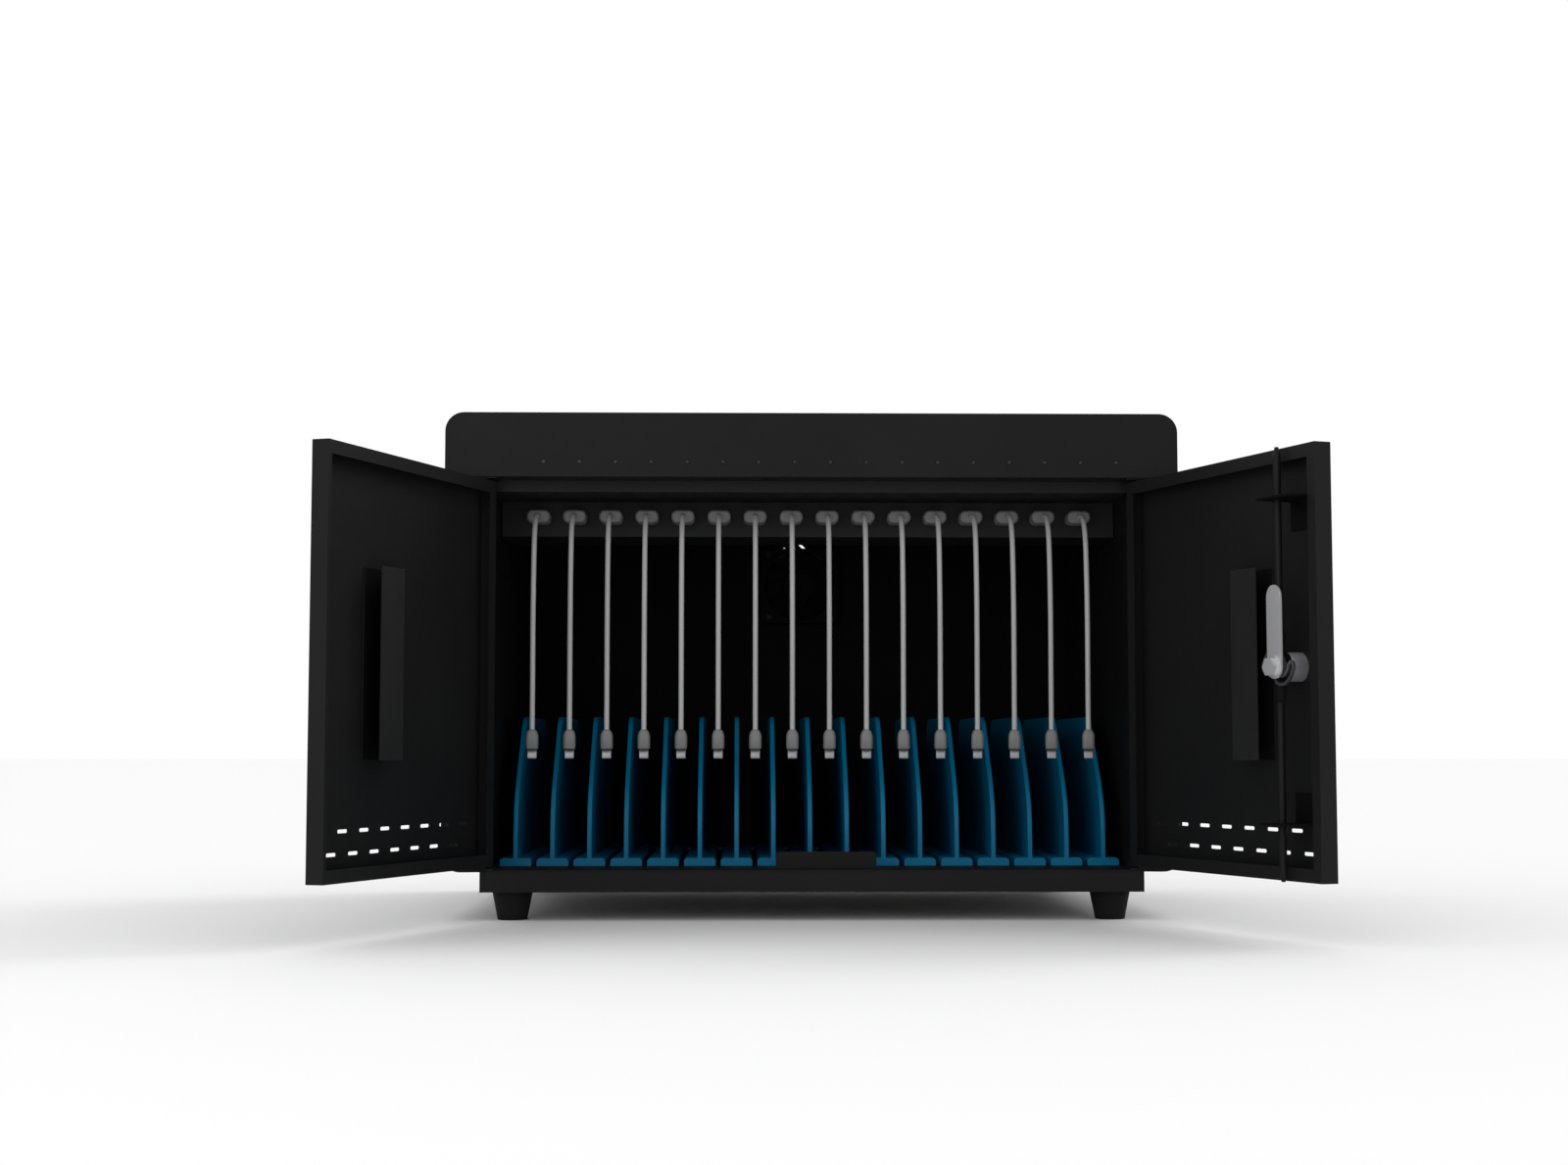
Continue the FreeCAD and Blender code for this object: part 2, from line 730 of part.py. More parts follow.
def hinge_parts():
    brackets, pins, screws = [], [], []
    for side, word in SIDES:
        for upper in (False, True):
            if upper:
                shelf_z = ("header_z - bracket_sheet", "header_z")
                leg_z = ("header_z - bracket_leg", "header_z - bracket_sheet")
                pin_z = ("door_z1 - pivot_reach", "header_z")
            else:
                shelf_z = ("floor_z", "floor_z + bracket_sheet")
                leg_z = ("floor_z + bracket_sheet", "floor_z + bracket_leg")
                pin_z = ("floor_z", "door_z0 + pivot_reach")
            edge = [f"{side}*(jamb_x - bracket_reach)", f"{side}*jamb_x"]
            face = [f"{side}*(jamb_x - bracket_sheet)", f"{side}*jamb_x"]
            deep = ("front_y + sheet", "front_y + jamb_depth")
            shelf = span(sorted(edge, key=value), deep, shelf_z)
            leg = span(sorted(face, key=value), ("bracket_y", "front_y + jamb_depth"), leg_z)
            pivot = (f"{side}*pivot_x", "pivot_y")
            holes = [drum("pivot_d", "bracket_sheet", (*pivot, shelf_z[0]))]
            pins.append(drum("pivot_d", f"({pin_z[1]})-({pin_z[0]})", (*pivot, pin_z[0])))
            for y, z in hinge_screw_spots(upper):
                holes.append(drum("hinge_screw_d", "bracket_sheet", (sorted(face, key=value)[0], y, z), "x"))
                screws.append(hinge_screw(side, y, z))
            brackets.append(cut(fuse(shelf, leg), *holes))
    node(group(brackets), "hinge_brackets")
    node(group(pins), "hinge_pins")
    node(group(screws), "hinge_screws")


def hinge_screw(side, y, z):
    near = "jamb_x - bracket_sheet"
    shank_l = "bracket_sheet + sheet"
    shank_x = near if side > 0 else f"-({near} + {shank_l})"
    head_x = f"{near} - screw_head_t" if side > 0 else f"-({near})"
    shank = drum("hinge_screw_d", shank_l, (shank_x, y, z), "x")
    head = drum("screw_head_d", "screw_head_t", (head_x, y, z), "x")
    return fuse(shank, head)


# Doors

def door_pan(side, word):
    body = new_body("DoorPan")
    ends = sorted((leaf_x(side, "0"), leaf_x(side, "door_w")), key=value)
    skin_y, wall_y, lip_y, inner_y = (f"({depth}) - pivot_inset" for depth in
                                      ("0", "door_sheet", "door_t - door_sheet", "door_t"))

    def leaf(sketch):
        rectangle(sketch, (ends[0], "door_z0"), (ends[1], "door_z1"))

    def ring(sketch, width, end_width):
        low_w, high_w = (end_width, width) if side == RIGHT else (width, end_width)
        leaf(sketch)
        rectangle(sketch, (f"{ends[0]} + {low_w}", f"door_z0 + {width}"),
                  (f"{ends[1]} - {high_w}", f"door_z1 - {width}"))
    end_lip = "door_lip" if side == RIGHT else "left_end_lip"
    pad(body, "y", skin_y, wall_y, leaf)
    pad(body, "y", wall_y, lip_y, lambda s: ring(s, "door_sheet", "door_sheet"))
    pad(body, "y", lip_y, inner_y, lambda s: ring(s, "door_lip", end_lip))
    for drop, start, count in (("0", "vent_start", "vent_columns"),
                               ("vent_row_gap", "vent_start + vent_pitch/2", "vent_columns - 1")):
        spot = (leaf_x(side, start), f"door_z0 + vent_rise - {drop}")
        vent = pocket(body, "y", skin_y, wall_y, lambda s: slot(s, spot, "vent_l", "vent_h"))
        repeat(body, vent, count, "vent_pitch", backwards=side > 0)
    for low, high in (("door_z0", "door_z0 + door_sheet"), ("door_z1 - door_sheet", "door_z1")):
        pocket(body, "z", low, high, lambda s: circle(s, ("0", "0"), "bush_d"))
    if side == RIGHT:
        pocket(body, "y", skin_y, wall_y, lambda s: circle(s, (leaf_x(side, "lock_s"), "lock_z"), "lock_d"))
    node(hang(body, side), f"{word}_door_pan")


def door_stiffener(side, word):
    """A channel on the skin, open towards the leaf's free edge."""
    low, high = "stiffener_start", "stiffener_start + stiffener_w"
    height = ("stiffener_z", "stiffener_z + stiffener_l")
    outer = leaf_span(side, (low, high), ("door_sheet", "door_sheet + stiffener_d"), height)
    hollow = leaf_span(side, (f"{low} + stiffener_sheet", high),
                       ("door_sheet + stiffener_sheet", "door_sheet + stiffener_d - stiffener_sheet"), height)
    node(hang(cut(outer, hollow), side), f"{word}_door_stiffener")


def door_bushes(side, word):
    bushes = []
    for upper in (False, True):
        if upper:
            sleeve_z = ("door_z1 - bush_l", "door_z1")
            flange_z = ("door_z1", "door_z1 + bush_flange_t")
        else:
            sleeve_z = ("door_z0", "door_z0 + bush_l")
            flange_z = ("door_z0 - bush_flange_t", "door_z0")
        low = min(sleeve_z[0], flange_z[0], key=value)
        high = max(sleeve_z[1], flange_z[1], key=value)
        sleeve = leaf_post(side, "bush_d", "pivot_inset", "pivot_inset", sleeve_z)
        flange = leaf_post(side, "bush_flange_d", "pivot_inset", "pivot_inset", flange_z)
        bore = leaf_post(side, "pivot_d + 2*running_gap", "pivot_inset", "pivot_inset", (low, high))
        bushes.append(cut(fuse(sleeve, flange), bore))
    node(hang(group(bushes), side), f"{word}_hinge_bushes")


# Lock on the right door

def lock_body():
    skin = ("0", "lock_l")
    barrel = leaf_drum(RIGHT, "lock_d", "lock_s", skin, "lock_z")
    bezel = leaf_drum(RIGHT, "lock_bezel_d", "lock_s", ("-lock_bezel_t", "0"), "lock_z")
    bore = leaf_drum(RIGHT, "plug_d + 2*running_gap", "lock_s", ("-lock_bezel_t", "lock_l"), "lock_z")
    node(hang(cut(fuse(barrel, bezel), bore), RIGHT), "lock_body")


def lock_plug():
    core = leaf_drum(RIGHT, "plug_d", "lock_s", ("-lock_bezel_t", "lock_l"), "lock_z")
    spindle = leaf_drum(RIGHT, "spindle_d", "lock_s", ("lock_l", "tongue_n + tongue_t"), "lock_z")
    keyway = leaf_span(RIGHT, ("lock_s - keyway_w/2", "lock_s + keyway_w/2"),
                       ("-lock_bezel_t", "keyway_depth - lock_bezel_t"),
                       ("lock_z - keyway_h/2", "lock_z + keyway_h/2"))
    node(hang(cut(fuse(core, spindle), keyway), RIGHT), "lock_plug")


SPIRAL_STEPS = 6
QUARTER_TURN = math.pi / 2


def spiral_spot(start_angle, turn):
    """A place on the spiral and its heading there, once the plate has turned."""
    growth = value("rod_travel") / QUARTER_TURN
    radius = value("scroll_r") + growth * turn
    angle = math.radians(start_angle) - turn
    outward = Vector(math.cos(angle), 0, math.sin(angle))
    onward = Vector(math.sin(angle), 0, -math.cos(angle))
    return outward * radius, (outward * growth + onward * radius).normalize()


def spiral_arm(start_angle, half_width):
    """A strip along a spiral whose radius grows evenly by the rods' travel over a quarter turn."""
    half = value(half_width)
    spots = [spiral_spot(start_angle, QUARTER_TURN * step / SPIRAL_STEPS) for step in range(SPIRAL_STEPS + 1)]
    walls = []
    for sign in (-1, 1):
        walls.append([spot + Vector(-heading.z, 0, heading.x) * half * sign for spot, heading in spots])
    near, far = walls
    (first, first_heading), (last, last_heading) = spots[0], spots[-1]
    edges = []
    for points in walls:
        curve = Part.BSplineCurve()
        curve.interpolate(points)
        edges.append(curve.toShape())
    edges.append(Part.Arc(near[0], first - first_heading * half, far[0]).toShape())
    edges.append(Part.Arc(near[-1], last + last_heading * half, far[-1]).toShape())
    outline = Part.Wire(Part.__sortEdges__(edges))
    return Part.Face(outline).extrude(Vector(0, value("scroll_t"), 0))


def spiral_pair(half_width):
    item = doc.addObject("Part::Feature", "Spirals")
    item.Shape = Part.makeCompound([spiral_arm(90, half_width), spiral_arm(270, half_width)])
    return place(item, (leaf_x(RIGHT, "lock_s"), "scroll_n - pivot_inset", "lock_z"))


def scroll_plate():
    """A hub with two spiral arms, each with a slot for a rod's pin."""
    depth = ("scroll_n", "scroll_n + scroll_t")
    hub = leaf_drum(RIGHT, "scroll_hub_d", "lock_s", depth, "lock_z")
    hole = leaf_drum(RIGHT, "spindle_d", "lock_s", depth, "lock_z")
    slot_half = "rod_pin_d/2 + rod_pin_gap"
    arms = fuse(hub, spiral_pair(f"{slot_half} + scroll_wall"))
    node(hang(cut(cut(arms, hole), spiral_pair(slot_half)), RIGHT), "scroll_plate")


def lock_clip():
    depth = ("lock_l", "lock_l + clip_t")
    bar = leaf_span(RIGHT, ("lock_s - clip_w/2", "lock_s + clip_w/2"), depth,
                    ("lock_z - clip_h/2", "lock_z + clip_h/2"))
    ring = leaf_drum(RIGHT, "lock_d", "lock_s", depth, "lock_z")
    hole = leaf_drum(RIGHT, "spindle_d + 2*clip_gap", "lock_s", depth, "lock_z")
    node(hang(cut(fuse(bar, ring), hole), RIGHT), "lock_clip")


def lock_tongue():
    body = new_body("Tongue")
    low, high = "tongue_n - pivot_inset", "tongue_n + tongue_t - pivot_inset"
    x = leaf_x(RIGHT, "lock_s")
    middle = "lock_z + (tongue_l - tongue_w/2)/2"
    pad(body, "y", low, high,
        lambda s: slot(s, (x, middle), "tongue_l + tongue_w/2", "tongue_w", upright=True))
    pocket(body, "y", low, high, lambda s: circle(s, (x, "lock_z"), "spindle_d"))
    node(hang(body, RIGHT), "lock_tongue")


def tongue_bolt():
    face = "tongue_n + tongue_t"
    washer = leaf_drum(RIGHT, "bolt_washer_d", "lock_s", (face, f"{face} + bolt_washer_t"), "lock_z")
    head = doc.addObject("Part::Prism", "Head")
    head.Polygon = 6
    bind(head, Circumradius="bolt_head_d/2", Height="bolt_head_t")
    place(head, (leaf_x(RIGHT, "lock_s"), f"{face} + bolt_washer_t - pivot_inset", "lock_z"), TURNS["y"])
    node(hang(fuse(washer, head), RIGHT), "tongue_bolt")


def bolt_rod(upper):
    """A rod with a tapered tip and, at the lock, a flat blade whose pin rides in the scroll plate."""
    x, y = leaf_x(RIGHT, "lock_s"), "rod_n - pivot_inset"
    sign = "" if upper else "-"
    pin_z = f"lock_z + {sign}scroll_r"
    blade = (f"{pin_z} - {sign}rod_d/2", f"{pin_z} + {sign}rod_blade_l")
    if upper:
        tip = taper("rod_d", "rod_tip_d", "rod_tip_l", (x, y, "rod_z1 - rod_tip_l"))
        shank = (blade[1], "rod_z1 - rod_tip_l")
    else:
        tip = taper("rod_tip_d", "rod_d", "rod_tip_l", (x, y, "rod_z0"))
        shank = ("rod_z0 + rod_tip_l", blade[1])
    post = leaf_post(RIGHT, "rod_d", "lock_s", "rod_n", shank)
    blade_n = ("rod_n - rod_d/2", "rod_n")
    blade_s = ("lock_s - rod_blade_w/2", "lock_s + rod_blade_w/2")
    flat = leaf_span(RIGHT, blade_s, blade_n, sorted(blade, key=value))
    stud = leaf_drum(RIGHT, "rod_pin_d", "lock_s", ("rod_n", "scroll_n + scroll_t"), pin_z)
    node(hang(fuse(post, tip, flat, stud), RIGHT), "upper_bolt_rod" if upper else "lower_bolt_rod")


def rod_guide(upper):
    shelf_z = "upper_guide_z" if upper else "lower_guide_z"
    top = f"{shelf_z} + guide_sheet"
    along = ("lock_s - guide_past_rod", "guide_edge")
    shelf = leaf_span(RIGHT, along, ("door_sheet", "door_t + guide_reach"), (shelf_z, top))
    leg_z = (f"{shelf_z} - guide_leg_h", shelf_z) if upper else (top, f"{top} + guide_leg_h")
    leg_s = ("guide_edge - guide_leg_w", "guide_edge")
    leg = leaf_span(RIGHT, leg_s, ("door_sheet", "door_sheet + guide_sheet"), leg_z)
    hole = leaf_post(RIGHT, "rod_d + 2*guide_gap", "lock_s", "rod_n", (shelf_z, top))
    node(hang(cut(fuse(shelf, leg), hole), RIGHT), "upper_rod_guide" if upper else "lower_rod_guide")


# Bays

def dividers():
    body = new_body("Divider")
    start = "front_y + divider_start"
    wide, top = "divider_base_w/2", "floor_z + divider_base_t"
    narrow, shoulder = f"{wide} - divider_bevel", f"{top} - divider_bevel"
    pad(body, "y", start, f"{start} + divider_l",
        lambda s: polygon(s, (f"-{wide}", "floor_z"), (wide, "floor_z"), (wide, shoulder), (narrow, top),
                          (f"-({narrow})", top), (f"-{wide}", shoulder)))
    foot, bend = "floor_z", "floor_z + fin_front_h"
    crest, slope_end = "floor_z + fin_h", f"{start} + fin_slope_l"
    rear = f"{start} + divider_l"
    fin = pad(body, "x", "-fin_t/2", "fin_t/2",
              lambda s: polygon(s, (start, foot), (start, bend), (slope_end, crest), (rear, crest),
                                (rear, foot)))
    bends = ((start, bend, "fin_bend_r"), (slope_end, crest, "fin_top_r"), (rear, crest, "fin_rear_r"))
    for y, z, radius in bends:
        spot = Vector(0, value(y), value(z))
        fin = round_edges(body, fin, Vector(1, 0, 0), [spot], radius)
    row_of(body, "bay_dividers", "bay_count + 1", "bay_pitch", "first_bay_x - bay_pitch/2")


# Charging hub

def hub_housing():
    body = new_body("HubHousing")
    half = "liner_x - hub_side_gap"
    near, far = "hub_y", "hub_y + hub_d"
    pad(body, "x", f"-({half})", half,
        lambda s: polygon(s, (near, "hub_z"), (far, "hub_z"), (far, "ceiling_z"),
                          (f"{far} - sheet", "ceiling_z"), (f"{far} - sheet", "hub_z + sheet"),
                          (f"{near} + sheet", "hub_z + sheet"), (f"{near} + sheet", "ceiling_z"),
                          (near, "ceiling_z")))
    reach_w, reach_h = "(shell_w/2 + window_gap)", "(shell_h/2 + window_gap)"
    low = (f"first_bay_x - {reach_w}", f"usb_z - {reach_h}")
    high = (f"first_bay_x + {reach_w}", f"usb_z + {reach_h}")
    window = pocket(body, "y", near, f"{near} + sheet", lambda s: rectangle(s, low, high))
    repeat(body, window, "bay_count", "bay_pitch")
    node(body, "hub_housing")


def hub_board():
    half = "liner_x - hub_side_gap - board_margin"
    board = span((f"-({half})", half), ("socket_y", "hub_y + hub_d - sheet - board_margin"),
                 ("board_z", "board_z + board_t"))
    posts = []
    for x in (f"-({half}) + standoff_d", f"{half} - standoff_d"):
        for y in ("socket_y + standoff_d", "hub_y + hub_d - sheet - board_margin - standoff_d"):
            posts.append(drum("standoff_d", "board_z - (hub_z + sheet)", (x, y, "hub_z + sheet")))
    node(fuse(board, *posts), "hub_board")


def usb_sockets():
    case = span(("-socket_w/2", "socket_w/2"), ("socket_y", "socket_y + socket_d"),
                ("usb_z - socket_h/2", "usb_z + socket_h/2"))
    reach_w, reach_h = "(shell_w/2 + shell_gap)", "(shell_h/2 + shell_gap)"
    mouth = span((f"-{reach_w}", reach_w), ("socket_y", "hub_y + sheet + shell_l + shell_gap"),
                 (f"usb_z - {reach_h}", f"usb_z + {reach_h}"))
    row_of(cut(case, mouth), "usb_sockets", "bay_count", "bay_pitch", "first_bay_x")


def usb_plugs():
    body = new_body("UsbPlug")
    pad(body, "y", "grip_y", "hub_y",
        lambda s: rounded(s, ("-grip_w/2", "usb_z - grip_h/2"), ("grip_w/2", "usb_z + grip_h/2"), "grip_r"))
    pad(body, "y", "hub_y", "hub_y + sheet + shell_l",
        lambda s: rectangle(s, ("-shell_w/2", "usb_z - shell_h/2"), ("shell_w/2", "usb_z + shell_h/2")))
    row_of(body, "usb_plugs", "bay_count", "bay_pitch", "first_bay_x")


def cable_path(points):
    """Straight runs joined by tangent arcs, each as large as its runs allow."""
    edges, radii = [], []
    last = points[0]
    for before, corner, after in zip(points, points[1:], points[2:]):
        back, ahead = before - corner, after - corner
        reach = ARC_SHARE * min(back.Length, ahead.Length)
        back.normalize()
        ahead.normalize()
        half_turn = (math.pi - back.getAngle(ahead)) / 2
        radius = reach / math.tan(half_turn)
        start, end = corner + back * reach, corner + ahead * reach
        inward = (back + ahead).normalize()
        middle = corner + inward * (radius / math.cos(half_turn) - radius)
        edges.append(Part.LineSegment(last, start).toShape())
        edges.append(Part.Arc(start, middle, end).toShape())
        radii.append(radius)
        last = end
    edges.append(Part.LineSegment(last, points[-1]).toShape())
    return Part.Wire(edges), radii


def charge_cables():
    exit_y, exit_z = value("grip_y"), value("usb_z")
    points = [Vector(0, exit_y - forward, exit_z - drop) for forward, drop in CABLE_ROUTE]
    path, radii = cable_path(points)
    section = Part.Circle(points[0], points[1] - points[0], value("cable_d/2")).toShape()
    tube = path.makePipeShell([Part.Wire([section])], True, False)
    expected = math.pi * value("cable_d/2") ** 2 * path.Length
    print("cable bend radii", [round(radius, 1) for radius in radii])
    print("cable length", round(path.Length, 1))
    print("cable volume over section times length", round(tube.Volume / expected, 4))
    for index in range(round(value("bay_count"))):
        cable = doc.addObject("Part::Feature", "Cable")
        cable.Shape = tube
        place(cable, (f"first_bay_x + bay_pitch*{index}", "0", "0"))
        node(cable, f"charge_cable_{index + 1:02d}")


def device_connectors():
    forward, drop = CABLE_ROUTE[-1]
    y, top = f"grip_y - {forward}", f"usb_z - {drop}"
    body = new_body("Connector")
    pad(body, "z", f"{top} - connector_l", top,
        lambda s: rounded(s, ("-connector_w/2", f"{y} - connector_t/2"),
                          ("connector_w/2", f"{y} + connector_t/2"), "connector_r"))
    pad(body, "z", f"{top} - connector_l - tip_l", f"{top} - connector_l",
        lambda s: rounded(s, ("-tip_w/2", f"{y} - tip_t/2"), ("tip_w/2", f"{y} + tip_t/2"), "tip_r"))
    row_of(body, "device_connectors", "bay_count", "bay_pitch", "first_bay_x")


# Electronics above the deck

def indicator_lights():
    near = "front_y + light_l"
    low = "-light_start - light_board_margin"
    high = "-light_start + light_pitch*(light_count - 1) + light_board_margin"
    board = span((low, high), (near, f"{near} + board_t"),
                 ("header_z + sheet", "header_z + sheet + light_board_h"))
    node(board, "light_board")
    lamp = drum("light_d", "light_l", ("0", "front_y", "light_z"), "y")
    row_of(lamp, "indicator_lights", "light_count", "light_pitch", "-light_start")


def power_supply():
    start = "front_y + supply_start"
    node(span(("-supply_w/2", "supply_w/2"), (start, f"{start} + supply_d"), ("deck_z", "deck_z + supply_h")),
         "power_supply")


def mains_inlet():
    half_w, half_h = "inlet_w/2", "inlet_h/2"
    wide, tall = f"({half_w} + inlet_flange)", f"({half_h} + inlet_flange)"
    inside_w, inside_h = f"({half_w} - inlet_wall)", f"({half_h} - inlet_wall)"
    mouth = "panel_back_y + inlet_flange_t"
    floor_y = "panel_back_y - inlet_d + inlet_wall"
    case = span((f"inlet_x - {half_w}", f"inlet_x + {half_w}"), ("panel_back_y - inlet_d", "panel_back_y"),
                (f"power_z - {half_h}", f"power_z + {half_h}"))
    flange = span((f"inlet_x - {wide}", f"inlet_x + {wide}"), ("panel_back_y", mouth),
                  (f"power_z - {tall}", f"power_z + {tall}"))
    hollow = span((f"inlet_x - {inside_w}", f"inlet_x + {inside_w}"), (floor_y, mouth),
                  (f"power_z - {inside_h}", f"power_z + {inside_h}"))
    blades = []
    for step in (-1, 0, 1):
        x = f"inlet_x + {step}*blade_pitch"
        z = "power_z + blade_drop" if step == 0 else "power_z - blade_drop"
        blades.append(span((f"{x} - blade_w/2", f"{x} + blade_w/2"), (floor_y, f"{floor_y} + blade_l"),
                           (f"{z} - blade_h/2", f"{z} + blade_h/2")))
    node(fuse(cut(fuse(case, flange), hollow), *blades), "mains_inlet")


def power_switch():
    half_w, half_h = "switch_w/2", "switch_h/2"
    wide, tall = f"({half_w} + switch_flange)", f"({half_h} + switch_flange)"
    inside_w, inside_h = f"({half_w} - switch_wall)", f"({half_h} - switch_wall)"
    mouth = "panel_back_y + switch_flange_t"
    case = span((f"switch_x - {half_w}", f"switch_x + {half_w}"), ("panel_back_y - switch_d", "panel_back_y"),
                (f"power_z - {half_h}", f"power_z + {half_h}"))
    flange = span((f"switch_x - {wide}", f"switch_x + {wide}"), ("panel_back_y", mouth),
                  (f"power_z - {tall}", f"power_z + {tall}"))
    hollow = span((f"switch_x - {inside_w}", f"switch_x + {inside_w}"),
                  ("panel_back_y - switch_d + switch_wall", mouth),
                  (f"power_z - {inside_h}", f"power_z + {inside_h}"))
    axle_l = "switch_w - 2*switch_wall"
    axle = drum("rocker_pin_d", axle_l, (f"switch_x - ({axle_l})/2", "panel_back_y", "power_z"), "x")
    node(fuse(cut(fuse(case, flange), hollow), axle), "switch_housing")

    rocker_w = f"{axle_l} - 2*rocker_gap"
    rocker_h = "switch_h - 2*switch_wall - 4*rocker_gap"
    paddle = block((rocker_w, "rocker_t", rocker_h), (f"-({rocker_w})/2", "-rocker_t/2", f"-({rocker_h})/2"))
    bore = drum("rocker_pin_d + 2*running_gap", rocker_w, (f"-({rocker_w})/2", "0", "0"), "x")
    rocker = cut(paddle, bore)
    tilt = FreeCAD.Rotation(Vector(1, 0, 0), value("rocker_tilt"))
    node(place(rocker, ("switch_x", "panel_back_y", "power_z"), tilt), "power_rocker")


# Fan and rear panel

def fan_screw_spots():
    reach = "fan_screw_pitch/2"
    return [(x, f"fan_z {sign} {reach}") for x in (f"-{reach}", reach) for sign in "+-"]


def fan_frame():
    half = "fan_w/2"
    body = new_body("FanFrame")
    pad(body, "y", "fan_y", "panel_y",
        lambda s: rounded(s, (f"-{half}", f"fan_z - {half}"), (half, f"fan_z + {half}"), "fan_corner_r"))
    back = "panel_y - fan_strut_t"
    pocket(body, "y", "fan_y", back, lambda s: circle(s, ("0", "fan_z"), "fan_bore_d"))
    pocket(body, "y", back, "panel_y", lambda s: circle(s, ("0", "fan_z"), "fan_bore_d - 2*fan_lip"))
    for x, z in fan_screw_spots():
        pocket(body, "y", "fan_y", "panel_y", lambda s: circle(s, (x, z), "fan_screw_d"))
    across = ("-fan_strut_w/2", "fan_strut_w/2")
    along = ("-fan_bore_d/2 - fan_strut_bite", "fan_bore_d/2 + fan_strut_bite")
    upright = span(across, (back, "panel_y"), [f"fan_z + {end}" for end in along])
    level = span(along, (back, "panel_y"), [f"fan_z + {end}" for end in across])
    seat = drum("fan_hub_d", "fan_strut_t", ("0", back, "fan_z"), "y")
    shaft = drum("fan_shaft_d", "shaft_l", ("0", f"{back} - shaft_l", "fan_z"), "y")
    node(fuse(body, upright, level, seat, shaft), "fan_frame")


def fan_rotor():
    near = "panel_y - fan_strut_t - rotor_gap - rotor_l"
    hub = drum("fan_hub_d", "rotor_l", ("0", near, "fan_z"), "y")
    bore = drum("fan_shaft_d + 2*running_gap", "rotor_l", ("0", near, "fan_z"), "y")
    reach = value("fan_bore_d/2 - rotor_gap")
    root = value("fan_hub_d/2 - 1")
    vane_w, vane_t = value("fan_blade_w"), value("fan_blade_t")
    count = round(value("fan_blades"))
    vanes = []
    for index in range(count):
        vane = Part.makeBox(reach - root, vane_w, vane_t, Vector(root, -vane_w / 2, -vane_t / 2))
        vane.rotate(Vector(0, 0, 0), Vector(1, 0, 0), value("fan_blade_tilt"))
        vane.rotate(Vector(0, 0, 0), Vector(0, 1, 0), 360 * index / count)
        vanes.append(vane)
    sweep = Part.makeCylinder(reach, value("rotor_l"), Vector(0, -value("rotor_l") / 2, 0), Vector(0, 1, 0))
    blades = doc.addObject("Part::Feature", "Blades")
    blades.Shape = Part.makeCompound([vane.common(sweep) for vane in vanes])
    place(blades, ("0", f"{near} + rotor_l/2", "fan_z"))
    node(cut(fuse(hub, blades), bore), "fan_rotor")


def rear_panel():
    half = "inner_x - panel_gap"
    body = new_body("RearPanel")
    pad(body, "y", "panel_y", "panel_back_y",
        lambda s: rounded(s, (f"-({half})", "floor_z + panel_gap"), (half, "top_z - sheet - panel_gap"),
                          "corner_r - sheet - panel_gap"))
    for x, w, h in (("inlet_x", "inlet_w", "inlet_h"), ("switch_x", "switch_w", "switch_h")):
        pocket(body, "y", "panel_y", "panel_back_y",
               lambda s: rectangle(s, (f"{x} - {w}/2", f"power_z - {h}/2"),
                                   (f"{x} + {w}/2", f"power_z + {h}/2")))
    for x, z in fan_screw_spots():
        pocket(body, "y", "panel_y", "panel_back_y", lambda s: circle(s, (x, z), "fan_screw_d"))
    doc.recompute()
    grid, long = value("grille_bar + grille_slot"), value("fan_bore_d")
    count = int(long / 2 / grid)
    cuts = []
    for index in range(-count, count):
        middle = (index + 0.5) * grid
        strip = Part.makeBox(long, value("sheet"), value("grille_slot"),
                             Vector(-long / 2, 0, middle - value("grille_slot") / 2))
        strip.rotate(Vector(0, 0, 0), Vector(0, 1, 0), 45)
        cuts.append(strip)
    ring = Part.makeCylinder(long / 2, value("sheet"), Vector(0, 0, 0), Vector(0, 1, 0))
    slots = doc.addObject("Part::Feature", "GrilleSlots")
    slots.Shape = Part.makeCompound([strip.common(ring) for strip in cuts])
    place(slots, ("0", "panel_y", "grille_z"))
    node(cut(body, slots), "rear_panel")


def fan_screws():
    screws = []
    for x, z in fan_screw_spots():
        shank = drum("fan_screw_d", "sheet + fan_d", (x, "fan_y", z), "y")
        head = drum("fan_screw_head_d", "screw_head_t", (x, "panel_back_y", z), "y")
        screws.append(fuse(shank, head))
    node(group(screws), "fan_screws")


outer_wrapper()
front_fascia()
deck()
plinth_pan()
rubber_feet()
catch_plate()
hinge_parts()
for side, word in SIDES:
    side_liner(side, word)
    door_pan(side, word)
    door_stiffener(side, word)
    door_bushes(side, word)
lock_body()
lock_plug()
lock_clip()
scroll_plate()
lock_tongue()
tongue_bolt()
for upper in (True, False):
    bolt_rod(upper)
    rod_guide(upper)
dividers()
hub_housing()
hub_board()
usb_sockets()
usb_plugs()
charge_cables()
device_connectors()
indicator_lights()
power_supply()
mains_inlet()
power_switch()
rear_panel()
fan_frame()
fan_rotor()
fan_screws()

doc.recompute()
for item in doc.Objects:
    if "Invalid" in item.State or "Error" in item.State:
        raise RuntimeError(f"{item.Label} failed: {item.State}")
os.makedirs("parts", exist_ok=True)
for label, item in NODES.items():
    if item.Shape.isNull() or not item.Shape.isValid():
        raise RuntimeError(f"{label} has no valid shape")
for label, item in NODES.items():
    item.Shape.exportStep(f"parts/{label}.step")
print(len(NODES), "nodes written")
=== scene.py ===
"""Looks of the charging cabinet: materials, cables with their plugs and connectors, studio and camera."""
import json
import math

